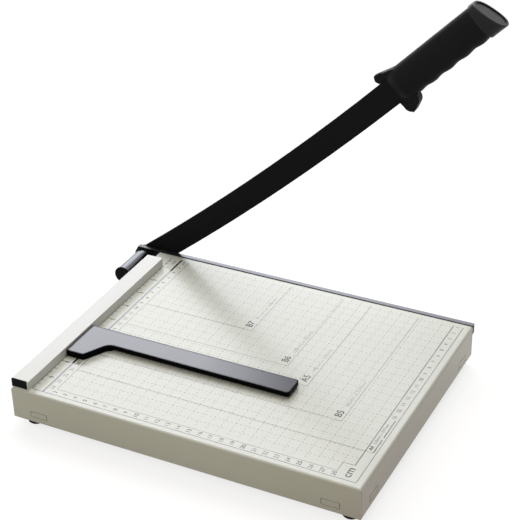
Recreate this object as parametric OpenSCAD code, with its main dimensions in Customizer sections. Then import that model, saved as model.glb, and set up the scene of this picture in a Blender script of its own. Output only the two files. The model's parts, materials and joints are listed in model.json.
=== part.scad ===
// Guillotine paper cutter: a folded sheet-steel board with a fence and a sliding paper guide,
// a bed knife along its back edge, and a curved swing knife on a spring-loaded pivot.
// Millimetres, +Z up. The cutting edge runs along X, the fence along Y.
// The origin lies on the desk under the middle of the overall box.

/* [Board] */
// Width of the board along the cutting edge
base_w = 326; // [300:1:400]
// Depth of the board from front wall to back wall
base_d = 254.6; // [220:0.1:320]
// Height of the board's walls
base_h = 30; // [26:0.5:45]
// Thickness of the folded sheet
sheet_t = 1.2; // [0.8:0.1:1.6]
// Outside radius of the folds
bend_r = 2; // [2:0.1:4]
// Outside radius of the tight fold against the bed knife
back_r = 0.6; // [0.3:0.1:2]
// Width of the open seam where two walls meet
seam_w = 0.6; // [0.4:0.1:1]

/* [Feet] */
// Height of the rubber feet
foot_h = 9; // [5:0.5:12]
// Radius of a foot where it meets the board
foot_r = 8; // [7:0.5:10]
// Distance of a foot's centre from the two nearest walls
foot_in = 13.5; // [12:0.5:20]
// Side length of a corner plate
plate_l = 42; // [38:1:60]
// Thickness of a corner plate
plate_t = 1.5; // [1:0.1:2.5]
// Width of a corner plate's tongue
tongue_w = 15.5; // [10:0.5:18]
// Height of a corner plate's tongue
tongue_h = 5; // [3:0.5:7]
// Distance of a tongue's middle from the end of its wall
tongue_in = 26; // [22:0.5:30]
// Height of a tongue's middle above the wall's lower edge
tongue_z = 7.5; // [6:0.5:10]
// Gap of the slot round a tongue
tongue_gap = 0.6; // [0.3:0.1:1]
// Radius of the foot screws
foot_screw_r = 2; // [1.5:0.1:2.5]

/* [Fence] */
// Width of the fence rail
fence_w = 16.7; // [14:0.1:24]
// Height of the fence rail
fence_h = 8.6; // [7:0.1:14]
// Wall of the fence rail
fence_wall = 1; // [0.8:0.1:1.5]
// Set-back of the fence from the front wall
fence_front = 1.5; // [0.5:0.1:6]
// Set-back of the fence from the back wall
fence_back = 21.8; // [5:0.1:100]
// Set-back of the fence from the left wall
fence_side = 0.2; // [0:0.1:4]
// Thickness of a plug's face
plug_t = 1.5; // [1:0.1:3]
// Length of a plug inside the rail
plug_l = 8; // [5:0.5:15]
// Set-back of the back plug inside the rail's end
plug_set = 0.6; // [0.2:0.1:3]

/* [Bed knife] */
// Thickness of the bed knife
bed_t = 4.5; // [3:0.1:6]
// Height of the bed knife's bar
bed_h = 9.5; // [9:0.5:16]
// Height of the bed knife's top above the board
bed_rise = 0.8; // [0.5:0.1:3]
// Length of the bed knife past the board's right wall
bed_over = 0; // [0:0.1:4]
// Radius of the pivot eye
eye_r = 10; // [9:0.5:14]
// Distance of the pivot axis from the board's left wall
pivot_out = 18.5; // [16:0.5:30]
// Number of screws along the bed knife
bed_screws = 5; // [3:1:8]

/* [Swing knife] */
// Angle of the blade's root above the board, as drawn
rest_angle = 37.7; // [20:0.1:60]
// How far before the board's right wall the finger guard starts
guard_before = 6.5; // [0:0.5:12]
// Radius of the curved cutting edge
edge_r = 2800; // [1500:10:6000]
// Width of the blade
knife_w = 23.5; // [20:0.5:30]
// Thickness of the blade
knife_t = 3; // [2:0.1:4]
// Width of the blade's metal round the pivot bore
root_wall = 4; // [3:0.5:6]
// Width of the ground bevel
bevel_w = 4; // [2:0.5:6]
// Gap between the two blades' faces
blade_gap = 0.1; // [0.05:0.05:0.3]

/* [Pivot] */
// Radius of the bolt's bearing shoulder
journal_r = 4; // [3:0.1:4.5]
// Radius of the bolt's threaded shank
shank_r = 3; // [2:0.1:3.5]
// Wall of the bush
bush_wall = 1.4; // [1:0.1:2]
// Running clearance of the bolt in the bush
run_gap = 0.05; // [0.02:0.01:0.1]
// Outside radius of the spring tube
tube_r = 7.8; // [7:0.1:9]
// Wall of the spring tube
tube_wall = 0.8; // [0.5:0.1:1]
// Length of the spring tube
tube_l = 39.5; // [36:0.5:80]
// Radius of the tube's end cap
cap_r = 8.5; // [8:0.1:12]
// Thickness of the end cap's face
cap_t = 2; // [1.5:0.1:4]
// Wire radius of the pressure spring
wire_r = 0.8; // [0.5:0.1:1]
// Turns of the pressure spring
spring_turns = 9; // [5:1:10]

/* [Handle] */
// Length of the grip from the blade's end to the end cap
grip_l = 108.5; // [90:0.5:130]
// Height of the grip's section
grip_h = 30.6; // [28:0.2:36]
// Rise of the grip's middle above the blade's
grip_rise = 0.7; // [0:0.1:2]
// Thickness of the grip's section
grip_t = 18; // [15:0.5:22]
// Depth of the finger waves under the grip
wave_d = 0.5; // [0:0.1:1.5]
// Length of one finger wave
wave_l = 19; // [15:0.5:25]
// Length of the end cap along its middle
end_l = 12.2; // [10:0.1:20]
// Slant of the end cap's face
end_slant = 17.5; // [0:0.5:18]
// How far the end cap stands proud of the grip
end_lip = 1; // [0.8:0.1:2]
// Width of the tang inside the grip
tang_w = 15; // [10:0.5:18]
// Thickness of the finger guard on each side of the blade
guard_t = 4.2; // [3:0.1:6]
// Reach of the lower finger guard below the grip's axis
guard_low = 24.8; // [22:0.1:28]
// Reach of the thumb guard above the grip's axis
guard_high = 20.4; // [19:0.1:23]

/* [Paper guide] */
// Length of the guide along the cutting edge
guide_l = 206.6; // [150:0.1:240]
// Width of the guide's bar
guide_w = 21.5; // [16:0.5:30]
// Depth of the guide's head along the fence
head_d = 44.5; // [36:0.5:60]
// Width of the head at its front
head_w = 17.5; // [12:0.5:24]
// Width of the head where it joins the bar
head_root = 30; // [26:0.5:40]
// Thickness of the guide
guide_t = 6.4; // [5:0.1:10]
// Height of the bar's underside above the board
bar_lift = 1.8; // [1:0.1:2.5]
// Distance of the guide's back edge from the cutting edge, as drawn
guide_at = 153.7; // [60:0.1:180]
// Radius of the magnets
magnet_r = 5; // [3:0.5:6]
// Height of the magnets
magnet_h = 4; // [3.5:0.1:4.5]

/* [Hidden] */
$fn = 64;

// Small fits shared by the pieces
fit_gap = 0.1;
slot_gap = 0.3;
hole_gap = 0.2;
seat_gap = 0.4;
swing_gap = 1.5;
cut_past = 1;

// Colours
cream = "#d9d8cd";
white_paint = "#ecece8";
black_steel = "#17171a";
black_plastic = "#1c1c1f";
bright_steel = "#b9bcc0";
grey_tube = "#8d8f93";
bronze = "#b08a4a";
rubber = "#121212";

// Blade and grip, seen from the pivot: u along the blade's root, v square to it
arc_sides = 720;
root_r = journal_r + root_wall;
edge_drop = knife_w - root_r;
mid_r = edge_r - knife_w / 2;
grip_u = base_w + pivot_out - guard_before;
grip_turn = asin(grip_u / mid_r);
grip_v = edge_r - edge_drop - mid_r * cos(grip_turn);
end_h = grip_h + 2 * end_lip;
end_edge = 0.7;
end_rim = 2.2;
end_dish = 1;
grip_end = grip_l + end_l;
end_reach = grip_end - end_edge + end_h / 2 * tan(end_slant);

function turned(p, a) = [p.x * cos(a) - p.y * sin(a), p.x * sin(a) + p.y * cos(a)];
// Place of a point of the grip's side view, from the pivot, with the knife as drawn
function from_pivot(p) = turned([grip_u, grip_v] + turned(p, grip_turn), rest_angle);

// Overall box and the planes that the pieces are set out from
reach_x = from_pivot([end_reach, grip_rise - end_h / 2]).x;
overall_w = eye_r + reach_x;
back_t = blade_gap + (knife_t + grip_t) / 2 + end_lip;
overall_d = base_d + bed_t + back_t;
pivot_x = eye_r - overall_w / 2;
left_x = pivot_x + pivot_out;
right_x = left_x + base_w;
front_y = -overall_d / 2;
back_y = front_y + base_d;
cut_y = back_y + bed_t;
board_z = foot_h + base_h;
bed_top = board_z + bed_rise;
pivot_z = bed_top - eye_r;

// Corner plates, feet and their screws
ear_over = 2;
ear_h = tongue_z + tongue_h / 2 + ear_over;
ear_from = 2 * plate_t;
foot_edge = 1;
foot_taper = 0.5;
foot_sink = foot_h / 2;
foot_head_h = 2.2;
foot_head_r = foot_screw_r * 1.8;
foot_nut_h = foot_screw_r * 1.6;
foot_nut_r = foot_screw_r * 2;
screw_past = 1;

// Fence
fence_x = left_x + fence_side;
fence_y = front_y + fence_front;
fence_l = base_d - fence_front - fence_back;
fence_end = fence_y + fence_l;
fence_mid = fence_x + fence_w / 2;
rail_y = fence_y + plug_t;
rail_l = fence_end - rail_y;
plug_inset = fence_wall + fit_gap;
fence_screw_r = 1.5;
fence_head_r = 3;
fence_head_h = 1.8;
fence_screw_end = 25;
fence_screw_ys = [rail_y + fence_screw_end, rail_y + rail_l / 2, rail_y + rail_l - fence_screw_end];

// Bed knife and its screws
bed_low = bed_top - bed_h;
bed_screw_r = 1.5;
bed_head_r = 2.8;
bed_screw_up = 3.5;
bed_screw_end = 20;
bed_screw_step = (base_w - 2 * bed_screw_end) / (bed_screws - 1);
eye_turn = 150;
eye_web = 22;
stiff_t = 5;
stiff_h = 8;
stiff_end = 10;

// Pivot, from the knife's back face forward to the tube's end
blade_y = cut_y + blade_gap;
bed_front = cut_y - bed_t;
washer_t = 1.2;
washer_r = 9;
bolt_head_h = 5;
bolt_head_r = 7.2;
bush_r = journal_r + run_gap + bush_wall;
bush_flange_t = 1.5;
tube_in_r = tube_r - tube_wall;
seat_r = tube_in_r - seat_gap;
tube_y = bed_front - tube_l;
spring_back = bed_front - bush_flange_t;
shoulder_y = spring_back - seat_gap;
cap_edge = 0.8;
spigot_l = 4;
spigot_wall = 1.2;
bolt_tip_y = tube_y + spigot_l + 1.5;
nut_y = bolt_tip_y + screw_past;
nut_h = 5;
nut_r = min(seat_r, shank_r * 1.85);
seat_y = nut_y + nut_h;
seat_t = 1.2;
spring_front = seat_y + seat_t + slot_gap;
spring_r = seat_r - wire_r - fit_gap;
spring_sides = 6;
spring_steps = 8;

// Handle
parting_y = blade_y + knife_t / 2;
bed_reach = norm([base_w + pivot_out + bed_over, eye_r]);
front_start = bed_reach + swing_gap - norm([grip_u, grip_v]);
back_start = 1;
blade_in = front_start + 7;
tang_in_end = 5;
tang_l = grip_l + tang_in_end;
handle_screw_r = 1.6;
handle_head_r = 3.2;
handle_head_h = 2;
handle_screw_end = 20;
handle_skin = 3.6;
handle_seat_y = parting_y + grip_t / 2 - handle_skin;
handle_hole_y = parting_y - grip_t / 2 + handle_skin;

// Grip's section and the ends of its loft
section_p = 2.4;
ring_step = 2.5;
half_sides = 14;
nose_share = 0.55;
nose_l = 8;
wave_from = 20;
wave_fade = 10;

// Finger guard: centres of its round ends along the grip, and their radii
lobe_r = 6.5;
lobe_at = 7.8;
lobe_root_r = 7.5;
lobe_root_at = 14;
thumb_r = 2.2;
thumb_at = -1.4;
thumb_heel_at = -2.6;
thumb_h = 6.7;
thumb_root_at = 17;
thumb_foot_at = 6;

// Paper guide
guide_x = fence_x + fence_w + slot_gap;
guide_y = cut_y - guide_at;
guide_lift = 0.05;
guide_round = 3;
inner_round = 9;
head_foot = head_root + inner_round / 3;
fence_round = 0.6;
magnet_at = [[head_w / 2, -head_d * 0.72], [head_root / 2, -guide_w / 2],
             [guide_l * 0.55, -guide_w / 2], [guide_l - guide_w / 2, -guide_w / 2]];

// A round bar along Y from y0 to y1, or a cone if r2 is given
module along_y(y0, y1, r1, r2 = undef) {
    translate([0, y0, 0]) rotate([-90, 0, 0])
        cylinder(h = y1 - y0, r1 = r1, r2 = is_undef(r2) ? r1 : r2);
}

// A six-sided bar along Y from y0 to y1
module hex_y(y0, y1, r) {
    translate([0, y0, 0]) rotate([-90, 0, 0]) cylinder(h = y1 - y0, r = r, $fn = 6);
}

// A flat piece in the XZ plane, filled from y0 to y1
module side_plate(y0, y1) {
    translate([0, y1, 0]) rotate([90, 0, 0]) linear_extrude(y1 - y0) children();
}

// A box between two corners
module block(low, high) {
    translate(low) cube(high - low);
}

// Places children at the pivot axis
module at_pivot() {
    translate([pivot_x, 0, pivot_z]) children();
}

// Places children in the blade's frame: X along its root, Z square to it
module on_blade() {
    at_pivot() rotate([0, -rest_angle, 0]) children();
}

// Places children in the grip's frame: X along the grip, Z square to it
module on_grip() {
    on_blade() translate([grip_u, 0, grip_v]) rotate([0, -grip_turn, 0]) children();
}

// Outline of a folded wall, w wide and h high, its upper corners rounded by r0 and r1
module fold_outline(w, h, r0, r1) {
    square([w / 2, h - r0]);
    translate([w / 2, 0]) square([w / 2, h - r1]);
    translate([r0, 0]) square([w - r0 - r1, h]);
    if (r0 > 0) translate([r0, h - r0]) circle(r0);
    if (r1 > 0) translate([w - r1, h - r1]) circle(r1);
}

// The board's outer form set in by inset, from height low up
module folded_form(inset, low) {
    w = base_w - 2 * inset;
    d = base_d - 2 * inset;
    h = board_z - inset - low;
    r = bend_r - inset;
    r_back = max(0, back_r - inset);
    intersection() {
        translate([left_x + inset, back_y - inset, low])
            rotate([90, 0, 0]) linear_extrude(d) fold_outline(w, h, r, r);
        translate([left_x + inset, front_y + inset, low])
            rotate([90, 0, 90]) linear_extrude(w) fold_outline(d, h, r, r_back);
    }
}

// Repeats children at a corner: 0 front left, 1 front right, 2 back left, 3 back right
module at_corner(i) {
    right = i % 2;
    back = floor(i / 2);
    translate([right ? right_x : left_x, back ? back_y : front_y, foot_h])
        mirror([right, 0, 0]) mirror([0, back, 0]) children();
}

// A tongue through both walls of a corner, grown by gap
module tongues(gap, depth) {
    w = tongue_w + 2 * gap;
    h = tongue_h + 2 * gap;
    z = tongue_z - h / 2;
    translate([tongue_in - w / 2, sheet_t - depth, z]) cube([w, depth, h]);
    translate([sheet_t - depth, tongue_in - w / 2, z]) cube([depth, w, h]);
}

// The seam between two walls, with a round relief at its top
module wall_seam() {
    seam_h = base_h - bend_r - 2;
    y = sheet_t;
    translate([-cut_past, y, -cut_past])
        cube([sheet_t + 2 * cut_past, seam_w, seam_h + cut_past]);
    translate([-cut_past, y + seam_w / 2, seam_h])
        rotate([0, 90, 0]) cylinder(h = sheet_t + 2 * cut_past, r = seam_w);
}

// Places children at each screw of the bed knife, on its shearing face
module at_bed_screws() {
    for (i = [0 : bed_screws - 1])
        translate([left_x + bed_screw_end + i * bed_screw_step, cut_y, bed_low + bed_screw_up])
            children();
}

module base_tray() {
    color(cream) difference() {
        folded_form(0, foot_h);
        folded_form(sheet_t, foot_h - cut_past);
        for (i = [0 : 3]) at_corner(i) {
            wall_seam();
            tongues(tongue_gap, sheet_t + cut_past);
        }
        at_bed_screws() along_y(-bed_t - sheet_t - cut_past, 0, bed_screw_r + hole_gap);
        for (y = fence_screw_ys)
            translate([fence_mid, y, board_z - sheet_t - cut_past])
                cylinder(h = sheet_t + 2 * cut_past, r = fence_screw_r + hole_gap);
    }
}

module rear_stiffener() {
    top = board_z - sheet_t;
    color(bright_steel) difference() {
        block([left_x + stiff_end, back_y - sheet_t - stiff_t, top - stiff_h],
              [right_x - stiff_end, back_y - sheet_t, top - bend_r + sheet_t]);
        at_bed_screws() along_y(-bed_t - sheet_t - stiff_t - cut_past, 0, bed_screw_r + fit_gap / 2);
    }
}

module corner_plate(i) {
    wall = sheet_t;
    color(bright_steel) at_corner(i) difference() {
        union() {
            translate([wall, wall, 0]) cube([plate_l, plate_l, plate_t]);
            translate([wall + ear_from, wall, 0]) cube([plate_l - ear_from, plate_t, ear_h]);
            translate([wall, wall + ear_from, 0]) cube([plate_t, plate_l - ear_from, ear_h]);
            tongues(0, sheet_t);
        }
        translate([foot_in, foot_in, -cut_past])
            cylinder(h = plate_t + 2 * cut_past, r = foot_screw_r + hole_gap);
    }
}

module foot(i) {
    color(rubber) at_corner(i) translate([foot_in, foot_in, -foot_h]) difference() {
        union() {
            cylinder(h = foot_edge, r1 = foot_r - foot_taper - foot_edge, r2 = foot_r - foot_taper);
            translate([0, 0, foot_edge])
                cylinder(h = foot_h - foot_edge, r1 = foot_r - foot_taper, r2 = foot_r);
        }
        translate([0, 0, -cut_past]) cylinder(h = foot_h + 2 * cut_past, r = foot_screw_r + hole_gap);
        translate([0, 0, -cut_past]) cylinder(h = foot_sink + cut_past, r = foot_head_r + hole_gap);
    }
}

module foot_screws() {
    shank = foot_h - foot_sink + plate_t + foot_nut_h + screw_past;
    color(bright_steel) for (i = [0 : 3]) at_corner(i)
        translate([foot_in, foot_in, foot_sink - foot_h]) {
            cylinder(h = shank, r = foot_screw_r);
            difference() {
                translate([0, 0, -foot_head_h]) cylinder(h = foot_head_h, r = foot_head_r);
                cross_recess(foot_head_r, -foot_head_h);
            }
        }
}

// A cross recess cut up into a screw head whose face lies at z
module cross_recess(head_r, z) {
    span = head_r * 1.2;
    arm = head_r * 0.25;
    depth = head_r * 0.3;
    for (a = [0, 90]) rotate(a)
        translate([-span / 2, -arm / 2, z - cut_past]) cube([span, arm, cut_past + depth]);
}

module foot_nuts() {
    color(bright_steel) for (i = [0 : 3]) at_corner(i) translate([foot_in, foot_in, plate_t])
        difference() {
            cylinder(h = foot_nut_h, r = foot_nut_r, $fn = 6);
            translate([0, 0, -cut_past])
                cylinder(h = foot_nut_h + 2 * cut_past, r = foot_screw_r + fit_gap / 2);
        }
}

module fence_rail() {
    face_x = fence_x + fence_w - fence_wall;
    side_x = fence_x + fence_w;
    top = board_z + fence_h;
    color(white_paint) difference() {
        union() {
            block([fence_x, rail_y, board_z], [side_x, fence_end, top]);
            block([face_x, fence_y, board_z], [side_x, fence_end, top]);
            block([fence_x, fence_y, board_z], [side_x, fence_end, board_z + fence_wall]);
        }
        block([fence_x + fence_wall, fence_y - cut_past, board_z + fence_wall],
              [face_x, fence_end + cut_past, top - fence_wall]);
        for (y = fence_screw_ys) translate([fence_mid, y, board_z - cut_past])
            cylinder(h = fence_wall + 2 * cut_past, r = fence_screw_r + fit_gap / 2);
    }
}

// The part of a plug inside the rail, from y on
module plug_spigot(y) {
    translate([fence_x + plug_inset, y, board_z + plug_inset])
        cube([fence_w - 2 * plug_inset, plug_l, fence_h - 2 * plug_inset]);
}

// The front plug's face lies between the rail's guiding wall and its floor
module fence_plug_front() {
    color(black_plastic) {
        block([fence_x, fence_y, board_z + fence_wall],
              [fence_x + fence_w - fence_wall, rail_y, board_z + fence_h]);
        plug_spigot(rail_y);
    }
}

module fence_plug_back() {
    color(black_plastic) plug_spigot(fence_end - plug_set - plug_l);
}

module fence_screws() {
    shank = sheet_t + fence_wall + 2 * screw_past;
    color(bright_steel) for (y = fence_screw_ys) translate([fence_mid, y, board_z - sheet_t]) {
        cylinder(h = shank, r = fence_screw_r);
        difference() {
            translate([0, 0, -fence_head_h]) cylinder(h = fence_head_h, r = fence_head_r);
            cross_recess(fence_head_r, -fence_head_h);
        }
    }
}

// Side view of the bed knife's bar, its web and the straight side of its eye, in X and Z
module bed_outline() {
    inset_r = eye_r - fit_gap;
    side = inset_r * [cos(eye_turn), sin(eye_turn)];
    corner_x = eye_r * (1 - sin(eye_turn)) / cos(eye_turn);
    end_x = pivot_out + base_w + bed_over;
    bar_z = eye_r - bed_h;
    translate([pivot_x, pivot_z])
        polygon([side, [corner_x, eye_r], [end_x, eye_r], [end_x, bar_z],
                 [pivot_out + eye_web, bar_z], [pivot_out, -inset_r], [0, -inset_r]]);
}

module bed_knife() {
    color(bright_steel) difference() {
        union() {
            side_plate(bed_front, cut_y) bed_outline();
            at_pivot() along_y(bed_front, cut_y, eye_r);
        }
        at_pivot() along_y(bed_front - cut_past, cut_y + cut_past, bush_r + fit_gap / 2);
        at_bed_screws() {
            along_y(-bed_t - cut_past, cut_past, bed_screw_r + hole_gap);
            along_y(-bed_head_r, 0, 0, bed_head_r + fit_gap);
        }
    }
}

module bed_knife_screws() {
    color(black_steel) at_bed_screws() {
        along_y(-bed_t - sheet_t - stiff_t - screw_past, -fit_gap, bed_screw_r);
        along_y(-bed_head_r, -fit_gap, 0, bed_head_r - fit_gap);
    }
}

module pivot_bush() {
    color(bronze) at_pivot() difference() {
        union() {
            along_y(bed_front, cut_y - fit_gap, bush_r);
            along_y(spring_back, bed_front, seat_r);
        }
        along_y(spring_back - cut_past, cut_y + cut_past, journal_r + run_gap);
    }
}

module spring_tube() {
    color(grey_tube) at_pivot() difference() {
        along_y(tube_y, bed_front, tube_r);
        along_y(tube_y - cut_past, cut_y, tube_in_r);
    }
}

// Points of one ring of the spring's wire, at turn fraction t from 0 to 1
function spring_ring(t) =
    let (a = 360 * spring_turns * t,
         y = spring_front + wire_r + t * (spring_back - spring_front - 2 * wire_r))
    [for (i = [0 : spring_sides - 1])
        let (b = 360 * i / spring_sides, r = spring_r + wire_r * cos(b))
        [r * cos(a), y + wire_r * sin(b), r * sin(a)]];

spring_pitch = (spring_back - spring_front - 2 * wire_r) / spring_turns;
echo(spring_self_gap = spring_pitch - 2 * wire_r);

module pressure_spring() {
    steps = spring_steps * spring_turns;
    color(bright_steel) at_pivot() loft([for (i = [0 : steps]) spring_ring(i / steps)]);
}

// A closed solid through rings of points that all have the same count
module loft(rings) {
    n = len(rings[0]);
    m = len(rings);
    polyhedron(
        points = [for (ring = rings) each ring],
        faces = concat(
            [[for (i = [0 : n - 1]) i]],
            [for (j = [0 : m - 2]) for (i = [0 : n - 1])
                each let (a = j * n + i, b = j * n + (i + 1) % n) [[b, a, a + n], [b, a + n, b + n]]],
            [[for (i = [n - 1 : -1 : 0]) (m - 1) * n + i]]),
        convexity = 6);
}

module tube_end_cap() {
    spigot_r = tube_in_r - fit_gap / 2;
    face_y = tube_y - cap_t;
    color(black_plastic) at_pivot() difference() {
        union() {
            along_y(face_y + cap_edge, tube_y, cap_r);
            along_y(face_y, face_y + cap_edge, cap_r - cap_edge, cap_r);
            along_y(tube_y, tube_y + spigot_l, spigot_r);
        }
        along_y(tube_y, tube_y + spigot_l + cut_past, spigot_r - spigot_wall);
    }
}

// The blade's curved bar with its ground edge, before the handle
module blade_bar() {
    land = knife_t * 0.2;
    low = -edge_drop - cut_past;
    high = grip_v + knife_w;
    intersection() {
        translate([0, 0, edge_r - edge_drop]) difference() {
            union() {
                along_y(blade_y, blade_y + land, edge_r, $fn = arc_sides);
                along_y(blade_y + land, blade_y + knife_t, edge_r, edge_r - bevel_w, $fn = arc_sides);
            }
            along_y(blade_y - cut_past, blade_y + knife_t + cut_past, edge_r - knife_w, $fn = arc_sides);
        }
        side_plate(blade_y, blade_y + knife_t)
            polygon([[0, -root_r], [edge_drop - root_r, low], [grip_u, low], [grip_u, high], [0, high]]);
    }
}

module knife_blade() {
    color(black_steel) difference() {
        union() {
            on_blade() {
                blade_bar();
                along_y(blade_y, blade_y + knife_t, root_r);
            }
            on_grip() {
                block([-cut_past, blade_y, -knife_w / 2], [blade_in, blade_y + knife_t, knife_w / 2]);
                block([0, blade_y, -tang_w / 2], [tang_l, blade_y + knife_t, tang_w / 2]);
            }
        }
        at_pivot() along_y(blade_y - cut_past, blade_y + knife_t + cut_past, journal_r + run_gap);
        at_handle_screws()
            along_y(blade_y - cut_past, blade_y + knife_t + cut_past, handle_screw_r + hole_gap);
    }
}

module pivot_bolt() {
    head_y = blade_y + knife_t + washer_t;
    color(black_steel) on_blade() {
        along_y(shoulder_y, head_y, journal_r);
        along_y(bolt_tip_y, shoulder_y, shank_r);
        hex_y(head_y, head_y + bolt_head_h, bolt_head_r);
    }
}

module bolt_washer() {
    back = blade_y + knife_t;
    color(bright_steel) on_blade() difference() {
        along_y(back, back + washer_t, washer_r);
        along_y(back - cut_past, back + washer_t + cut_past, journal_r + fit_gap);
    }
}

module spring_seat() {
    color(bright_steel) on_blade() difference() {
        along_y(seat_y, seat_y + seat_t, seat_r);
        along_y(seat_y - cut_past, seat_y + seat_t + cut_past, shank_r + fit_gap);
    }
}

module lock_nut() {
    color(bright_steel) on_blade() difference() {
        hex_y(nut_y, seat_y, nut_r);
        along_y(nut_y - cut_past, seat_y + cut_past, shank_r + fit_gap / 2);
    }
}

// Half section of the grip at x along it: side is -1 for the front half, 1 for the back half
function grip_half(x, start, side) =
    let (swell = min(1, nose_share + (1 - nose_share) * (x - start) / nose_l),
         wave = wave_d * cos(360 * (x - grip_l) / wave_l) * min(1, max(0, (x - wave_from) / wave_fade)),
         high = grip_rise + grip_h / 2,
         low = grip_rise - grip_h / 2 + wave)
    [for (i = [0 : half_sides])
        let (a = 180 * (side > 0 ? half_sides - i : i) / half_sides, c = cos(a), s = sin(a))
        [x, parting_y + side * swell * grip_t / 2 * pow(max(0, s), 2 / section_p),
         (high + low) / 2 + (high - low) / 2 * sign(c) * pow(abs(c), 2 / section_p)]];

// One half of the grip from start to the end cap
module grip_loft(start, side) {
    rings = ceil((grip_l - start) / ring_step);
    loft([for (i = [0 : rings]) grip_half(start + (grip_l - start) * i / rings, start, side)]);
}

// A round of the finger guard, at a place of the grip's side view
module guard_round(x, z, r) {
    translate([x, z]) circle(r, $fn = 32);
}

// Side view of the finger guard: a lobe under the blade and a thumb lobe over it
module guard_outline() {
    hull() {
        guard_round(lobe_at, lobe_r - guard_low, lobe_r);
        guard_round(lobe_at, 0, lobe_r);
        guard_round(lobe_root_at, grip_rise - grip_h / 2, lobe_root_r);
    }
    hull() {
        guard_round(thumb_at, guard_high - thumb_r, thumb_r);
        guard_round(thumb_heel_at, guard_high - thumb_h + thumb_r, thumb_r);
        guard_round(thumb_foot_at, 0, thumb_r);
        guard_round(thumb_root_at, grip_rise + grip_h / 2 - thumb_r, thumb_r);
    }
}

// Room for the blade's end and its tang inside the grip
module tang_room() {
    y0 = blade_y;
    y1 = blade_y + knife_t;
    half = knife_w / 2 + hole_gap;
    block([-grip_l, y0, -half], [blade_in + hole_gap, y1, half]);
    block([0, y0, -tang_w / 2 - hole_gap], [grip_l + cut_past, y1, tang_w / 2 + hole_gap]);
}

// Places children at each handle screw, in the grip's frame
module at_handle_screws() {
    on_grip() for (x = [front_start + handle_screw_end, grip_l - handle_screw_end])
        translate([x, 0, 0]) children();
}

// The half of the finger guard in front of the parting plane, clear of the bed knife's end
module front_guard() {
    intersection() {
        side_plate(parting_y - guard_t, parting_y) guard_outline();
        block([front_start, parting_y - grip_t, -2 * grip_h], [grip_l, parting_y, 2 * grip_h]);
    }
}

module handle_front_shell() {
    color(black_plastic) difference() {
        on_grip() difference() {
            union() {
                grip_loft(front_start, -1);
                front_guard();
            }
            tang_room();
        }
        at_handle_screws() along_y(handle_hole_y, parting_y + cut_past, handle_screw_r + fit_gap / 2);
    }
}

module handle_back_shell() {
    color(black_plastic) difference() {
        on_grip() difference() {
            union() {
                grip_loft(back_start, 1);
                side_plate(parting_y, parting_y + guard_t) guard_outline();
            }
            tang_room();
        }
        at_handle_screws() {
            along_y(parting_y - cut_past, parting_y + grip_t, handle_screw_r + hole_gap);
            along_y(handle_seat_y, parting_y + grip_t, handle_head_r + hole_gap);
        }
    }
}

// A full ring of the end cap at x, its section grown by extra and its plane tilted by slant
function end_ring(x, extra, slant) =
    [for (i = [0 : 2 * half_sides - 1])
        let (a = -180 * i / half_sides, c = cos(a), s = sin(a),
             y = (grip_t / 2 + extra) * sign(s) * pow(abs(s), 2 / section_p),
             z = (grip_h / 2 + extra) * sign(c) * pow(abs(c), 2 / section_p))
        [x - z * tan(slant), parting_y + y, grip_rise + z]];

module handle_end_cap() {
    inner = end_lip - end_rim;
    color(black_plastic) on_grip() difference() {
        loft([end_ring(grip_l, end_lip - end_edge, 0), end_ring(grip_l + end_edge, end_lip, 0),
              end_ring(grip_end - end_edge, end_lip, end_slant),
              end_ring(grip_end, end_lip - end_edge, end_slant)]);
        loft([end_ring(grip_end - end_dish, inner, end_slant),
              end_ring(grip_end + end_dish, inner, end_slant)]);
        block([grip_l - cut_past, blade_y - fit_gap, -tang_w / 2 - hole_gap],
              [tang_l + hole_gap, blade_y + knife_t + fit_gap, tang_w / 2 + hole_gap]);
    }
}

module handle_screws() {
    color(bright_steel) at_handle_screws() {
        along_y(handle_hole_y + screw_past, handle_seat_y, handle_screw_r);
        translate([0, handle_seat_y, 0]) rotate([90, 0, 0]) difference() {
            translate([0, 0, -handle_head_h]) cylinder(h = handle_head_h, r = handle_head_r);
            cross_recess(handle_head_r, -handle_head_h);
        }
    }
}

// Plan of the paper guide, its back corner by the fence at the origin, square beside the fence
module guide_outline() {
    offset(r = fence_round) offset(delta = -fence_round) intersection() {
        offset(r = guide_round) offset(r = -guide_round)
            offset(r = -inner_round) offset(r = inner_round)
                polygon([[-guide_round, 0], [guide_l, 0], [guide_l, -guide_w], [head_root, -guide_w],
                         [head_w, -head_d], [-guide_round, -head_d]]);
        translate([0, -head_d]) square([guide_l, head_d]);
    }
}

// The head's foot lies on the board; the bar stands clear of it on its magnets
module guide_plate() {
    color(black_plastic) translate([guide_x, guide_y, board_z + guide_lift]) difference() {
        linear_extrude(guide_t) guide_outline($fn = 32);
        block([head_foot, -head_d, -cut_past], [guide_l + cut_past, cut_past, bar_lift]);
        for (p = magnet_at) translate([p.x, p.y, -cut_past])
            cylinder(h = magnet_h + cut_past, r = magnet_r + fit_gap);
    }
}

module guide_magnets() {
    color(bright_steel) translate([guide_x, guide_y, board_z + guide_lift])
        for (p = magnet_at) translate([p.x, p.y, 0]) cylinder(h = magnet_h, r = magnet_r);
}

base_tray();
rear_stiffener();
corner_plate(0);  // corner_plate_front_left
corner_plate(1);  // corner_plate_front_right
corner_plate(2);  // corner_plate_back_left
corner_plate(3);  // corner_plate_back_right
foot(0);  // foot_front_left
foot(1);  // foot_front_right
foot(2);  // foot_back_left
foot(3);  // foot_back_right
foot_screws();
foot_nuts();
fence_rail();
fence_plug_front();
fence_plug_back();
fence_screws();
bed_knife();
bed_knife_screws();
pivot_bush();
spring_tube();
pressure_spring();
tube_end_cap();
knife_blade();
pivot_bolt();
bolt_washer();
spring_seat();
lock_nut();
handle_front_shell();
handle_back_shell();
handle_end_cap();
handle_screws();
guide_plate();
guide_magnets();
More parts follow.
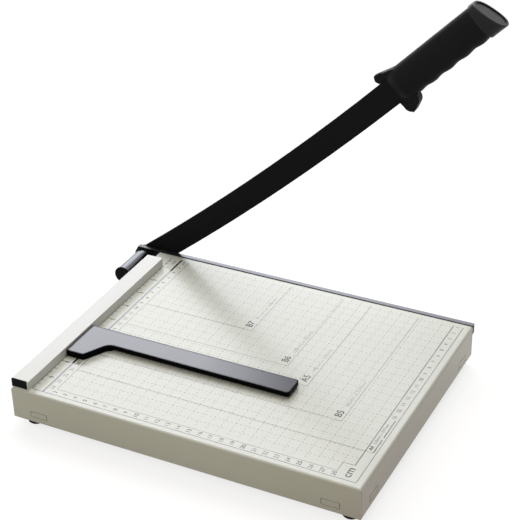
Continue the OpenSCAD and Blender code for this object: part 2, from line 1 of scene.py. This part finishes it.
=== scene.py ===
"""Looks of a guillotine paper cutter: an enamelled board with printed scales, a black swing knife,
a white fence and a black guide that slides along it.

Metres, +Z up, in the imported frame's own axes. A size written in millimetres is turned with MM.
"""

import json
import math

import bmesh
import bpy
from mathutils import Matrix, Vector


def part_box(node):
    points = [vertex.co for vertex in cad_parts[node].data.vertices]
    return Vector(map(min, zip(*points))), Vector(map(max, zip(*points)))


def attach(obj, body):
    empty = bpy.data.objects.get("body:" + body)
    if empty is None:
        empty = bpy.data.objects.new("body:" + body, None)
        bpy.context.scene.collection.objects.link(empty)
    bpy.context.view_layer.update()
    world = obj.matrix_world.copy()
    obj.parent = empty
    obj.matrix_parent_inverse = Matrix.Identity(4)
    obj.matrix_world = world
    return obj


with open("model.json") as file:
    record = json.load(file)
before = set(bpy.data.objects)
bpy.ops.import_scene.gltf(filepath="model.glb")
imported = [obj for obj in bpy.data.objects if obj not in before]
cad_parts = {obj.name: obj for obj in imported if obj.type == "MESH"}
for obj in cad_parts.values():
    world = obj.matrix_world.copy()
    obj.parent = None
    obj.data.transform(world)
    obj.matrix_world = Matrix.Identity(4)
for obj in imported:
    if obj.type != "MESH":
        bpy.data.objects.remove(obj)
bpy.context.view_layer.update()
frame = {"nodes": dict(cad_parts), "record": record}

MM = 0.001
NODES = frame["nodes"]

# Places that the pieces are set out from
tray_low, tray_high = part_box("base_tray")
BOARD_Z = tray_high.z
FENCE_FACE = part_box("fence_rail")[1].x

# A colour Mix node's sockets: the share of the second colour, the two colours and what comes out
SHARE, FIRST, SECOND, MIXED = 0, 6, 7, 2

# The span that most of a noise texture's values fall in
NOISE_LOW, NOISE_HIGH = 0.3, 0.7


def put(name, data):
    """A new object in the scene, made from a mesh, a curve, a light or a camera."""
    made = bpy.data.objects.new(name, data)
    bpy.context.scene.collection.objects.link(made)
    return made


def hex_colour(text):
    """An sRGB hex value as linear red, green, blue and alpha."""
    parts = [int(text[i:i + 2], 16) / 255 for i in (1, 3, 5)]
    return [c / 12.92 if c <= 0.04045 else ((c + 0.055) / 1.055) ** 2.4 for c in parts] + [1]


def add(tree, kind, inputs=(), **settings):
    """Adds a shader node: settings are its own properties, inputs its sockets' values or links."""
    made = tree.nodes.new(kind)
    for name, value in settings.items():
        setattr(made, name, value)
    for socket, value in dict(inputs).items():
        if isinstance(value, bpy.types.NodeSocket):
            tree.links.new(value, made.inputs[socket])
        else:
            made.inputs[socket].default_value = value
    return made


def start(name, **sockets):
    """A material with a Principled shader: returns it with its tree, shader and coordinates."""
    made = bpy.data.materials.new(name)
    made.use_nodes = True
    tree = made.node_tree
    shader = tree.nodes["Principled BSDF"]
    for socket, value in sockets.items():
        shader.inputs[socket.replace("_", " ")].default_value = value
    return made, tree, shader, add(tree, "ShaderNodeTexCoord")


def drift(tree, shader, at, size, colours, roughness):
    """Lets colour and roughness drift between two values over patches of a size in mm."""
    patch = add(tree, "ShaderNodeTexNoise",
                {"Vector": at.outputs["Object"], "Scale": 1 / (size * MM), "Detail": 4})
    tint = add(tree, "ShaderNodeMix",
               {SHARE: patch.outputs["Fac"], FIRST: hex_colour(colours[0]),
                SECOND: hex_colour(colours[1])}, data_type="RGBA")
    rough = add(tree, "ShaderNodeMapRange",
                {"Value": patch.outputs["Fac"], "From Min": NOISE_LOW, "From Max": NOISE_HIGH,
                 "To Min": roughness[0], "To Max": roughness[1]})
    tree.links.new(tint.outputs[MIXED], shader.inputs["Base Color"])
    tree.links.new(rough.outputs["Result"], shader.inputs["Roughness"])
    return tint


def grain(tree, shader, at, size, depth, stretch=(1, 1, 1)):
    """Raises the surface by a grain of a size and depth in mm, drawn out along axes by stretch."""
    drawn = add(tree, "ShaderNodeMapping",
                {"Vector": at.outputs["Object"], "Scale": [1 / s for s in stretch]})
    rise = add(tree, "ShaderNodeTexNoise",
               {"Vector": drawn.outputs["Vector"], "Scale": 1 / (size * MM), "Detail": 3})
    bump = add(tree, "ShaderNodeBump",
               {"Height": rise.outputs["Fac"], "Distance": depth * MM, "Strength": 1})
    tree.links.new(bump.outputs["Normal"], shader.inputs["Normal"])


def turned(tree, at, axes):
    """1 where a face of the object looks along one or two axes, 0 where it looks elsewhere."""
    askew, square = 0.6, 0.8
    facing = add(tree, "ShaderNodeSeparateXYZ", {"Vector": at.outputs["Normal"]})
    most = add(tree, "ShaderNodeMath",
               {0: facing.outputs[axes[0]], 1: facing.outputs[axes[-1]]}, operation="MAXIMUM")
    return add(tree, "ShaderNodeMapRange",
               {"Value": most.outputs[0], "From Min": askew, "From Max": square}).outputs["Result"]


def board_enamel():
    """Stove enamel on folded sheet steel: sprayed, so glossy with a faint orange peel."""
    made, tree, shader, at = start("stove_enamel", IOR=1.5)
    drift(tree, shader, at, size=60, colours=("#D0D1C8", "#D2D3CA"), roughness=(0.24, 0.26))
    grain(tree, shader, at, size=2.5, depth=0.002)
    return made


def printing_ink():
    """Screen-printed black ink, fired under the same gloss as the enamel."""
    made, tree, shader, at = start("screen_print_ink", IOR=1.5)
    drift(tree, shader, at, size=15, colours=("#101114", "#18191D"), roughness=(0.19, 0.24))
    return made


def line_ink():
    """The same ink laid thick for the long line: levelled to a hard, mirror-like gloss."""
    made, tree, shader, at = start("thick_screen_print_ink", IOR=1.8)
    drift(tree, shader, at, size=15, colours=("#0C0D10", "#121317"), roughness=(0.07, 0.11))
    return made


def fence_paint():
    """White powder coat on a drawn aluminium rail: satin, with a fine even texture.

    The texture is drawn at about twice its real size, so that it shows.
    """
    made, tree, shader, at = start("white_powder_coat", IOR=1.5)
    drift(tree, shader, at, size=40, colours=("#D2D2CE", "#D6D6D2"), roughness=(0.32, 0.4))
    grain(tree, shader, at, size=0.8, depth=0.004)
    return made


def black_steel():
    """Black stoved paint on a steel blade: smooth, dull, almost without colour.

    The paint's texture is drawn at a few times its real size, so that it shows.
    """
    made, tree, shader, at = start("black_painted_steel", IOR=1.5, Specular_IOR_Level=0.08)
    drift(tree, shader, at, size=30, colours=("#0A0A0E", "#0E0E12"), roughness=(0.38, 0.48))
    grain(tree, shader, at, size=1.2, depth=0.003)
    return made


def bed_steel():
    """A blackened steel bar, ground bright along its top and shearing face, but not round its eye.

    The grinding lines are drawn about ten times as wide as real ones, so that they show.
    """
    made, tree, shader, at = start("ground_and_blackened_steel")
    line_width, line_stretch = 0.5 * MM, 50
    side_gloss, top_gloss = 0.1, 0.7
    board_edge = NODES["bed_knife"].matrix_world.inverted() @ Vector((tray_low.x, 0, 0))
    along_x = add(tree, "ShaderNodeSeparateXYZ", {"Vector": at.outputs["Object"]})
    bar = add(tree, "ShaderNodeMath", {0: along_x.outputs["X"], 1: board_edge.x},
              operation="GREATER_THAN")
    ground = add(tree, "ShaderNodeMath", {0: turned(tree, at, "YZ"), 1: bar.outputs[0]},
                 operation="MULTIPLY").outputs[0]
    drawn = add(tree, "ShaderNodeMapping",
                {"Vector": at.outputs["Object"], "Scale": (1 / line_stretch, 1, 1)})
    scratch = add(tree, "ShaderNodeTexNoise",
                  {"Vector": drawn.outputs["Vector"], "Scale": 1 / line_width, "Detail": 3})
    steel = add(tree, "ShaderNodeMix",
                {SHARE: scratch.outputs["Fac"], FIRST: hex_colour("#5A5A5D"),
                 SECOND: hex_colour("#6C6C6F")}, data_type="RGBA")
    tint = add(tree, "ShaderNodeMix",
               {SHARE: ground, FIRST: hex_colour("#0B0B0D"), SECOND: steel.outputs[MIXED]},
               data_type="RGBA")
    rough = add(tree, "ShaderNodeMapRange",
                {"Value": scratch.outputs["Fac"], "To Min": 0.3, "To Max": 0.42})
    oiled = add(tree, "ShaderNodeMapRange",
                {"Value": turned(tree, at, "Z"), "To Min": side_gloss, "To Max": top_gloss})
    tree.links.new(tint.outputs[MIXED], shader.inputs["Base Color"])
    tree.links.new(oiled.outputs["Result"], shader.inputs["Specular IOR Level"])
    tree.links.new(ground, shader.inputs["Metallic"])
    tree.links.new(rough.outputs["Result"], shader.inputs["Roughness"])
    return made


def zinc_steel():
    """Zinc-plated steel fasteners and pressings: bright grey with a cloudy bloom."""
    made, tree, shader, at = start("zinc_plated_steel", Metallic=1)
    drift(tree, shader, at, size=3, colours=("#9C9EA2", "#B4B6BA"), roughness=(0.28, 0.42))
    return made


def tube_steel():
    """Drawn steel tube, darkened by its oil and polished along its axis: a streaky, narrow shine.

    The polishing lines are drawn several times as wide as real ones, so that they show.
    """
    made, tree, shader, at = start("drawn_steel_tube", Metallic=1)
    drift(tree, shader, at, size=6, colours=("#5C5D60", "#666769"), roughness=(0.2, 0.28))
    grain(tree, shader, at, size=0.4, depth=0.002, stretch=(1, 12, 1))
    return made


def bush_bronze():
    """Turned bearing bronze, dull with oil."""
    made, tree, shader, at = start("bearing_bronze", Metallic=1)
    drift(tree, shader, at, size=4, colours=("#8A6632", "#A67E44"), roughness=(0.35, 0.5))
    return made


def handle_plastic():
    """Injection-moulded ABS with a spark-eroded grain, so broad soft highlights.

    The grain is drawn at several times its real size, so that it shows.
    """
    made, tree, shader, at = start("moulded_abs", IOR=1.53, Specular_IOR_Level=0.1)
    drift(tree, shader, at, size=12, colours=("#08080A", "#0D0D0F"), roughness=(0.45, 0.55))
    grain(tree, shader, at, size=0.7, depth=0.01)
    return made


def cap_plastic():
    """The handle's end plug: the same ABS with a polished end face and a duller collar."""
    made, tree, shader, at = start("polished_abs", IOR=1.53)
    drift(tree, shader, at, size=6, colours=("#0B0B0D", "#121214"), roughness=(0.3, 0.4))
    askew, square = 0.6, 0.9
    collar_gloss, face_gloss = 0.2, 0.45
    end = max(NODES["handle_end_cap"].data.polygons,
              key=lambda face: face.area * (face.normal.x > 0))
    facing = add(tree, "ShaderNodeVectorMath", {0: at.outputs["Normal"], 1: end.normal},
                 operation="DOT_PRODUCT")
    polish = add(tree, "ShaderNodeMapRange",
                 {"Value": facing.outputs["Value"], "From Min": askew, "From Max": square,
                  "To Min": collar_gloss, "To Max": face_gloss})
    tree.links.new(polish.outputs["Result"], shader.inputs["Specular IOR Level"])
    return made


def guide_plastic():
    """Black ABS moulding: a lacquered upper face coloured grey as a painted sheen, and dull black
    side faces.

    The lacquer and the painted grey sheen stop about a millimetre short of the edges, so the edges
    stay black, and the lacquer is rubbed duller to the free end.
    """
    made, tree, shader, at = start("lacquered_abs", IOR=1.53, Coat_Roughness=0.2, Coat_IOR=1.5)
    side_gloss, worn_gloss, whole_gloss, coat_weight = 0.02, 0.37, 0.5, 0.6

    # The normal as if every edge were well rounded: where it leans, the lacquer and the painted
    # grey sheen stop
    round_over, leaning, upright = 3.5 * MM, 0.92, 0.98
    lean = add(tree, "ShaderNodeBevel", {"Radius": round_over}, samples=8)
    level = add(tree, "ShaderNodeSeparateXYZ", {"Vector": lean.outputs["Normal"]})
    top = add(tree, "ShaderNodeMapRange",
              {"Value": level.outputs["Z"], "From Min": leaning,
               "From Max": upright}).outputs["Result"]
    # Painted sheen: the upper face gets a grey base colour for the sheen it shows, the rest stays
    # black
    tint = drift(tree, shader, at, size=25, colours=("#2D2B33", "#34323B"), roughness=(0.26, 0.34))
    painted_sheen_colour = add(tree, "ShaderNodeMix",
                {SHARE: top, FIRST: hex_colour("#050506"), SECOND: tint.outputs[MIXED]},
                data_type="RGBA")

    # Whole over the half at the fence, and worn away from there to the free end
    near, free = (NODES["guide_plate"].matrix_world.inverted() @ corner
                  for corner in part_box("guide_plate"))
    worn_from = near.x * 0.45 + free.x * 0.55
    along_x = add(tree, "ShaderNodeSeparateXYZ", {"Vector": at.outputs["Object"]})
    whole = add(tree, "ShaderNodeMapRange",
                {"Value": along_x.outputs["X"], "From Min": worn_from, "From Max": free.x,
                 "To Min": 1, "To Max": 0}).outputs["Result"]
    shine = add(tree, "ShaderNodeMapRange",
                {"Value": whole, "To Min": worn_gloss, "To Max": whole_gloss})
    gloss = add(tree, "ShaderNodeMapRange",
                {"Value": top, "To Min": side_gloss, "To Max": shine.outputs["Result"]})
    rubbed = add(tree, "ShaderNodeMath", {0: whole, 1: coat_weight}, operation="MULTIPLY")
    lacquer = add(tree, "ShaderNodeMath", {0: top, 1: rubbed.outputs[0]}, operation="MULTIPLY")
    tree.links.new(painted_sheen_colour.outputs[MIXED], shader.inputs["Base Color"])
    tree.links.new(gloss.outputs["Result"], shader.inputs["Specular IOR Level"])
    tree.links.new(lacquer.outputs[0], shader.inputs["Coat Weight"])
    return made


def trim_plastic():
    """Black polyethylene plugs: matt and slightly waxy."""
    made, tree, shader, at = start("black_polyethylene", IOR=1.5, Specular_IOR_Level=0.05)
    drift(tree, shader, at, size=5, colours=("#08080A", "#0D0D0F"), roughness=(0.45, 0.6))
    return made


def foot_rubber():
    """Moulded rubber: dull, dusty black.

    The grain is drawn at about twice its real size, so that it shows.
    """
    made, tree, shader, at = start("moulded_rubber", IOR=1.52, Specular_IOR_Level=0.2)
    drift(tree, shader, at, size=3, colours=("#0E0E0E", "#161615"), roughness=(0.7, 0.85))
    grain(tree, shader, at, size=0.5, depth=0.02)
    return made


def magnet_nickel():
    """Nickel-plated magnet discs: bright and clean."""
    made, tree, shader, at = start("nickel_plate", Metallic=1)
    drift(tree, shader, at, size=2, colours=("#B9B7B0", "#C6C4BE"), roughness=(0.15, 0.22))
    return made


# The record's material slots and what each is made of
SLOTS = {
    "board_enamel": board_enamel, "fence_enamel": fence_paint, "zinc_plated_steel": zinc_steel,
    "bed_knife_steel": bed_steel, "black_steel": black_steel, "tube_steel": tube_steel,
    "bush_bronze": bush_bronze, "handle_plastic": handle_plastic, "guide_plastic": guide_plastic,
    "trim_plastic": trim_plastic, "foot_rubber": foot_rubber, "magnet_nickel": magnet_nickel,
}
FINISHES = {slot: make() for slot, make in SLOTS.items()}
INK, LINE_INK, CAP = printing_ink(), line_ink(), cap_plastic()


def paint(piece, finish):
    """Gives a piece one material in place of any it has."""
    piece.data.materials.clear()
    piece.data.materials.append(finish)


for part in frame["record"]["subparts"]:
    paint(NODES[part["node"]], FINISHES[part["material_slot"]])
paint(NODES["handle_end_cap"], CAP)

# Vertices this close are one; faces this level are one face; edges this sharp are eased; edges that
# are still this sharp stay creases
ONE_POINT = 0.001 * MM
ONE_FACE, SHARP, CREASE = (math.radians(degrees) for degrees in (0.3, 40, 35))


def soften(node, width):
    """Rounds a node's sharp edges by a width in mm; the modifiers leave its own vertices alone."""
    piece = NODES[node]
    stored_normals = piece.data.attributes.get("custom_normal")
    if stored_normals is not None:
        piece.data.attributes.remove(stored_normals)
    piece.data.shade_smooth()
    piece.modifiers.new("joined_faces", "WELD").merge_threshold = ONE_POINT
    if width:
        flat = piece.modifiers.new("whole_faces", "DECIMATE")
        flat.decimate_type = "DISSOLVE"
        flat.angle_limit = ONE_FACE
        edge = piece.modifiers.new("eased_edges", "BEVEL")
        edge.width = width * MM
        edge.segments = 2
        edge.limit_method = "ANGLE"
        edge.angle_limit = SHARP
        edge.use_clamp_overlap = False
    piece.modifiers.new("creases", "EDGE_SPLIT").split_angle = CREASE
    piece.modifiers.new("flat_faces", "WEIGHTED_NORMAL").weight = 100


# Sharp edges as they are eased, in mm. At 0 only facets are smoothed: on the moulded handle, and on
# the blade, whose edge runs close by the bed knife
EDGES = {
    "fence_rail": 0.35, "fence_plug_front": 0.3, "fence_plug_back": 0.3,
    "bed_knife": 0.2, "knife_blade": 0, "guide_plate": 0.5,
    "handle_front_shell": 0, "handle_back_shell": 0, "handle_end_cap": 0,
}
for node_name, edge_width in EDGES.items():
    soften(node_name, edge_width)

# The print, in mm: X from the paper's corner beside the fence, depth from the bed knife forward
CM = 10
INCH = 25.4
PRINT_AT = FENCE_FACE + 2.6 * MM
PRINT_BACK = tray_high.y + 1.87 * MM
PRINT_Z = BOARD_Z + 0.02 * MM

# Widths of lines: thin ones, the border with its ticks, the right scale's, the largest format's and
# the long one beside the fence
FINE, EDGING, HEAVY, OUTER, LONG_LINE = 0.35, 0.5, 0.75, 0.8, 1.8

# Lines along the depth: border, long line, left scale, unit box, right scale and border
BORDER_X, LINE_X, SCALE_X, BOX_X, COLUMN_X, EDGE_X = -2.0, 9.0, 18.0, 280.0, 290.2, 299.5

# Lines along X: where the print begins, the end of the right scale, the front scale and the border
TOP_D, LAST_D, ROW_D, EDGE_D = 7.5, 230.5, 242.1, 250.2

# The grid's dashes: length, step and width, and how far they stand off the scales' zero
DASH, DASH_STEP, DASH_W = 1.6, 4.0, 0.31
GRID_X, GRID_D, FIRST_DASH_X = -0.15, 0.75, 1

# Paper formats, long side and short side; the largest has its outer side drawn in two stretches
FORMATS = [("B7", 128, 91), ("B6", 182, 128), ("A5", 210, 148), ("B5", 257, 182)]
A4_LONG, A4_SHORT = 297, 210
A4_STRETCHES = [(163, 188), (191.5, A4_SHORT)]

# Ticks on the inch scale
WHOLE_TICK, HALF_TICK, QUARTER_TICK = 4, 3, 2

# Figures: their columns and the row at the front, how far each stands off the mark that it numbers
# on the front, left and right scales, and a capital's share of its font's size
INCH_X, CM_X, RIGHT_X = 4.2, 13.6, 294.6
FRONT_D = (ROW_D + EDGE_D) / 2
FRONT_OFF, LEFT_OFF, RIGHT_OFF = -0.9, 1.2, -1
CAPITAL = 0.72

# Where a format's name and its sides in words stand, back from the corner of its lines
NAME_X, NAME_D = 5.5, 4.5
SIDES_X, SIDES_D = 4.2, 20
A4_X, A4_NAME_D, A4_SIDES_D = 293.4, 207.5, 199


def strip(layer, x0, d0, x1, d1):
    """A printed rectangle between two corners, X and depth in mm."""
    corners = [(x0, d0), (x0, d1), (x1, d1), (x1, d0)]
    layer.faces.new([layer.verts.new((PRINT_AT + x * MM, PRINT_BACK - d * MM, PRINT_Z))
                     for x, d in corners])


def across(layer, d, x0, x1, width=FINE):
    """A printed line along X."""
    strip(layer, x0, d - width / 2, x1, d + width / 2)


def along(layer, x, d0, d1, width=FINE):
    """A printed line along the depth."""
    strip(layer, x - width / 2, d0, x + width / 2, d1)


def word(layer, text, cap, x, d, bold=0.0, align="CENTER", length=None):
    """Printed letters that read from front to back, cap high, with the middle of their height at x.

    They are thickened by bold all round, and a length in mm draws them out to it.
    """
    curve = bpy.data.curves.new("word", "FONT")
    curve.body = text
    curve.size = cap / CAPITAL * MM
    curve.offset = bold * MM
    curve.resolution_u = 4
    curve.align_x = align
    curve.align_y = "CENTER"
    holder = put("word", curve)
    shown = holder.evaluated_get(bpy.context.evaluated_depsgraph_get())
    mesh = bpy.data.meshes.new_from_object(shown)
    stretch = length * MM / holder.dimensions.x if length else 1
    mesh.transform(Matrix.Translation((PRINT_AT + x * MM, PRINT_BACK - d * MM, PRINT_Z))
                   @ Matrix.Rotation(math.pi / 2, 4, "Z") @ Matrix.Diagonal((stretch, 1, 1, 1)))
    layer.from_mesh(mesh)
    bpy.data.objects.remove(holder)
    bpy.data.curves.remove(curve)
    bpy.data.meshes.remove(mesh)


def centimetres(layer, numbers, cap, bold, place):
    """Figures of a centimetre scale, each fifth one bold; place gives X and depth for a length."""
    for n in numbers:
        word(layer, str(n), cap, *place(CM * n), bold=0 if n % 5 else bold)


def lay(name, layer, ink=INK):
    """Lays a printed layer on the board."""
    mesh = bpy.data.meshes.new(name)
    layer.to_mesh(mesh)
    layer.free()
    mesh.materials.append(ink)
    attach(put(name, mesh), "base")


lines = bmesh.new()
along(lines, BORDER_X, TOP_D, EDGE_D, EDGING)
along(lines, SCALE_X, TOP_D, ROW_D)
along(lines, COLUMN_X, TOP_D, LAST_D, HEAVY)
along(lines, EDGE_X, TOP_D, EDGE_D, EDGING)
across(lines, EDGE_D, BORDER_X, EDGE_X, EDGING)
across(lines, ROW_D, SCALE_X, BOX_X)
along(lines, BOX_X, LAST_D, ROW_D)
across(lines, LAST_D, BOX_X, COLUMN_X)
for _, long_side, short_side in FORMATS:
    across(lines, short_side, SCALE_X, long_side)
    along(lines, long_side, TOP_D, short_side)
across(lines, A4_SHORT, SCALE_X, A4_LONG)
for d0, d1 in A4_STRETCHES:
    along(lines, A4_LONG, d0, d1, OUTER)
for quarter in range(1, 40):
    tick = WHOLE_TICK if quarter % 4 == 0 else HALF_TICK if quarter % 2 == 0 else QUARTER_TICK
    if TOP_D < quarter * INCH / 4 < EDGE_D:
        across(lines, quarter * INCH / 4, BORDER_X, BORDER_X + tick, EDGING)
lay("printed_lines", lines)

rule = bmesh.new()
along(rule, LINE_X, TOP_D, EDGE_D, LONG_LINE)
lay("printed_long_line", rule, LINE_INK)

dots = bmesh.new()
for n in range(3, 29):
    for i in range(int((ROW_D - TOP_D) / DASH_STEP)):
        d = TOP_D + i * DASH_STEP
        along(dots, CM * n + GRID_X, d, d + DASH, DASH_W)
for n in range(1, 24):
    for i in range(int((COLUMN_X - SCALE_X) / DASH_STEP)):
        x = SCALE_X + FIRST_DASH_X + i * DASH_STEP
        across(dots, CM * n + GRID_D, x, x + DASH, DASH_W)
lay("printed_grid", dots)

figures = bmesh.new()
centimetres(figures, range(2, 29), cap=4.0, bold=0.08, place=lambda run: (run + FRONT_OFF, FRONT_D))
centimetres(figures, range(2, 25), cap=3.6, bold=0.08, place=lambda run: (CM_X, run + LEFT_OFF))
centimetres(figures, range(1, 17), cap=3.6, bold=0.1, place=lambda run: (RIGHT_X, run + RIGHT_OFF))
for n in range(1, 10):
    word(figures, str(n), cap=4.2, x=INCH_X, d=INCH * n)
word(figures, "inch", cap=3.0, x=4.0, d=14)
word(figures, "cm", cap=3.0, x=CM_X, d=12)
word(figures, "cm", cap=7.5, x=289.6, d=240.5, bold=0.1)
for name, long_side, short_side in FORMATS:
    word(figures, name, cap=6.4, x=long_side - NAME_X,
         d=short_side - NAME_D, bold=0.12, align="LEFT")
    word(figures, f"{short_side}mm x {long_side}mm", cap=3.3, x=long_side - SIDES_X,
         d=short_side - SIDES_D, bold=-0.08, align="LEFT", length=38)
word(figures, "A4", cap=3.4, x=A4_X, d=A4_NAME_D, bold=0.15, align="LEFT")
word(figures, f"{A4_SHORT}mm x {A4_LONG}mm", cap=2.7, x=A4_X, d=A4_SIDES_D, align="LEFT", length=29)
lay("printed_figures", figures)


def seen(tree):
    """1 for what the camera sees, straight or reflected, and 0 for the light a surface gathers."""
    ray = add(tree, "ShaderNodeLightPath")
    mirror = add(tree, "ShaderNodeMath",
                 {0: ray.outputs["Is Glossy Ray"], 1: ray.outputs["Is Transmission Ray"]},
                 operation="MAXIMUM")
    return add(tree, "ShaderNodeMath", {0: ray.outputs["Is Camera Ray"], 1: mirror.outputs[0]},
               operation="MAXIMUM").outputs[0]


# Plain pale floor: white to the eye with the object's soft shadow, running out into the white
# world, and a warmer, dimmer bounce than it looks, warmest by the board's right front corner.
# Its sizes are in metres
FLOOR_HALF = 4
WARM_SPOT = (0.3, -0.11, 0)
WARM_NEAR, WARM_FAR = 0.08, 0.24
SHADOW_NEAR, SHADOW_FAR = 0.4, 1.2
floor_mesh = bpy.data.meshes.new("floor")
floor_mesh.from_pydata([(x * FLOOR_HALF, y * FLOOR_HALF, 0)
                        for x, y in [(-1, -1), (1, -1), (1, 1), (-1, 1)]], [], [(0, 1, 2, 3)])
floor = put("floor", floor_mesh)
paper = bpy.data.materials.new("backdrop_paper")
paper.use_nodes = True
tree = paper.node_tree
tree.nodes.clear()
spot = add(tree, "ShaderNodeTexCoord")
corner = add(tree, "ShaderNodeVectorMath", {0: spot.outputs["Object"], 1: WARM_SPOT},
             operation="DISTANCE")
warmth = add(tree, "ShaderNodeMapRange",
             {"Value": corner.outputs["Value"], "From Min": WARM_NEAR, "From Max": WARM_FAR,
              "To Min": 1, "To Max": 0}, interpolation_type="SMOOTHSTEP")
sheet = add(tree, "ShaderNodeMix",
            {SHARE: warmth.outputs["Result"], FIRST: hex_colour("#AEAA92"),
             SECOND: hex_colour("#8A6428")}, data_type="RGBA")
bounce = add(tree, "ShaderNodeBsdfDiffuse", {"Color": sheet.outputs[MIXED]})
shade = add(tree, "ShaderNodeBsdfDiffuse", {"Color": hex_colour("#959595")})
glow = add(tree, "ShaderNodeEmission", {"Color": hex_colour("#E4E4E4"), "Strength": 1})
near = add(tree, "ShaderNodeAddShader", {0: shade.outputs[0], 1: glow.outputs[0]})
far = add(tree, "ShaderNodeEmission", {"Color": hex_colour("#FFFFFF"), "Strength": 1})
reach = add(tree, "ShaderNodeVectorMath", {0: spot.outputs["Object"]}, operation="LENGTH")
fade = add(tree, "ShaderNodeMapRange",
           {"Value": reach.outputs["Value"], "From Min": SHADOW_NEAR, "From Max": SHADOW_FAR},
           interpolation_type="SMOOTHSTEP")
white = add(tree, "ShaderNodeMixShader",
            {0: fade.outputs["Result"], 1: near.outputs[0], 2: far.outputs[0]})
looked = add(tree, "ShaderNodeMixShader",
             {0: seen(tree), 1: bounce.outputs[0], 2: white.outputs[0]})
add(tree, "ShaderNodeOutputMaterial", {"Surface": looked.outputs[0]})
floor_mesh.materials.append(paper)

# World: white to the eye and in reflections, and a low even fill
world = bpy.data.worlds.new("studio")
bpy.context.scene.world = world
world.use_nodes = True
tree = world.node_tree
tree.nodes.clear()
fill = add(tree, "ShaderNodeBackground", {"Color": hex_colour("#FFF8EA"), "Strength": 0.22})
open_white = add(tree, "ShaderNodeBackground", {"Color": hex_colour("#FFFFFF"), "Strength": 1})
sky = add(tree, "ShaderNodeMixShader",
          {0: seen(tree), 1: fill.outputs[0], 2: open_white.outputs[0]})
add(tree, "ShaderNodeOutputWorld", {"Surface": sky.outputs[0]})


def softbox(name, place, side, power, colour):
    """A square soft light of a side in metres and a power in watts, turned to the object."""
    lamp = bpy.data.lights.new(name, "AREA")
    lamp.size = side
    lamp.energy = power
    lamp.color = hex_colour(colour)[:3]
    holder = put(name, lamp)
    holder.location = place
    holder.rotation_euler = (-Vector(place)).to_track_quat("-Z", "Y").to_euler()


softbox("backdrop_light", (-1.4, 1.52, 1.4), side=2.1, power=42, colour="#F2F6FF")
softbox("overhead", (0.1, 0.65, 1.5), side=0.8, power=9.5, colour="#FFFFFF")
softbox("front_light", (-0.1, -0.9, 1.0), side=1.0, power=4.6, colour="#FFFAF0")

# Camera at the photograph's view: the point it aims at, its turn and rise round that point, its
# tilt and distance, and its lens and sensor width in mm
AIM = Vector((tray_low.x, tray_high.y, BOARD_Z)) + Vector((97.82, 26.98, 0)) * MM
TURN = math.radians(27.35)
RISE = math.radians(30.328)
TILT = math.radians(-1.473)
AWAY = 1454.5 * MM
LENS, SENSOR = 103.18, 36
back = Vector((math.sin(TURN) * math.cos(RISE), -math.cos(TURN) * math.cos(RISE), math.sin(RISE)))
level = Vector((math.cos(TURN), math.sin(TURN), 0))
upright = back.cross(level)
right = level * math.cos(TILT) + upright * math.sin(TILT)
up = upright * math.cos(TILT) - level * math.sin(TILT)
lens = bpy.data.cameras.new("camera")
lens.lens = LENS
lens.sensor_width = SENSOR
camera = put("camera", lens)
camera.matrix_world = (Matrix.Translation(AIM + back * AWAY)
                       @ Matrix((right, up, back)).transposed().to_4x4())
bpy.context.scene.camera = camera

bpy.context.scene.view_settings.view_transform = "Standard"
